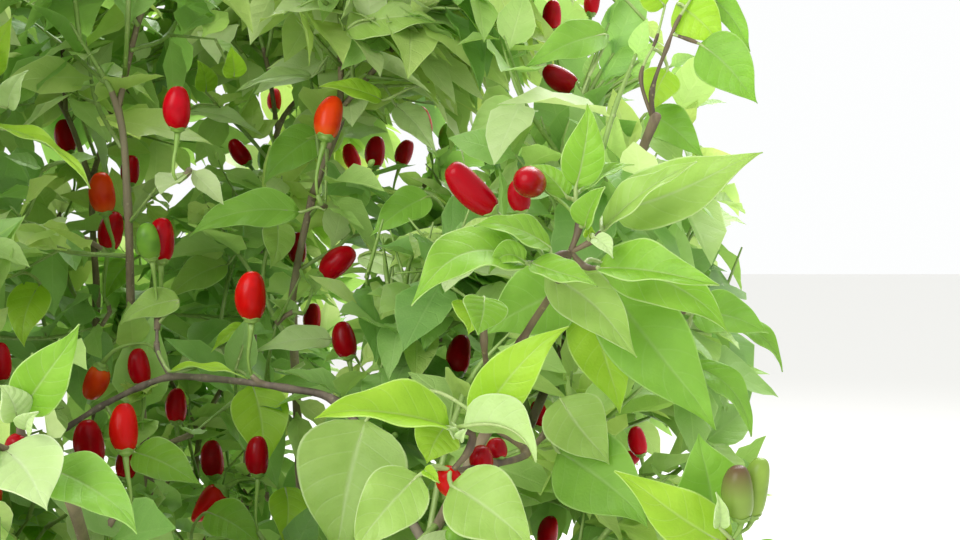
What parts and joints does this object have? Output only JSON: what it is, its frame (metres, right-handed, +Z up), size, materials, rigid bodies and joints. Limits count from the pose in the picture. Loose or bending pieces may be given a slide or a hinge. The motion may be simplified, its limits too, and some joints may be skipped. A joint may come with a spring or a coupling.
{
  "type": "chilli pepper plant",
  "caption": "Bushy small-fruited chilli pepper plant, rooted in the ground, with a forking woody stem, boughs and a full crown of leafy shoots with upright red fruit.",
  "frame": {"origin": "centre of the flat cut where the main stem leaves the ground", "axes": "+Z up; +Y away from a viewer who sees the side with the near shoots, +X to that viewer's right"},
  "size_m": [0.6471, 0.6943, 0.8617],
  "materials": {
    "bark": "matt",
    "green_wood": "satin",
    "foliage": "satin"
  },
  "bodies": {
    "root": {"main_stem": "bark", "main_bough_1": "bark", "main_bough_2": "bark", "main_bough_3": "bark", "side_bough_1": "bark", "side_bough_2": "bark", "side_bough_3": "bark", "side_bough_4": "bark", "side_bough_5": "bark", "side_bough_6": "bark", "lower_bough_1": "green_wood", "middle_bough_1": "green_wood", "upper_bough_1": "green_wood", "lower_bough_2": "green_wood", "middle_bough_2": "green_wood", "upper_bough_2": "green_wood", "lower_bough_3": "green_wood", "middle_bough_3": "green_wood", "upper_bough_3": "green_wood", "lower_bough_4": "green_wood", "middle_bough_4": "green_wood", "upper_bough_4": "green_wood", "lower_bough_5": "green_wood", "middle_bough_5": "green_wood", "upper_bough_5": "green_wood", "lower_bough_6": "green_wood", "middle_bough_6": "green_wood", "upper_bough_6": "green_wood", "near_shoots_bough": "green_wood", "left_shoot_bough": "green_wood", "right_shoot_bough": "green_wood", "top_shoot_bough": "green_wood", "lower_foliage_1": "foliage", "middle_foliage_1": "foliage", "upper_foliage_1": "foliage", "lower_foliage_2": "foliage", "middle_foliage_2": "foliage", "upper_foliage_2": "foliage", "lower_foliage_3": "foliage", "middle_foliage_3": "foliage", "upper_foliage_3": "foliage", "lower_foliage_4": "foliage", "middle_foliage_4": "foliage", "upper_foliage_4": "foliage", "lower_foliage_5": "foliage", "middle_foliage_5": "foliage", "upper_foliage_5": "foliage", "lower_foliage_6": "foliage", "middle_foliage_6": "foliage", "upper_foliage_6": "foliage", "near_shoots": "foliage", "left_shoot": "foliage", "right_shoot": "foliage", "top_shoot": "foliage"}
  },
  "joints": []
}
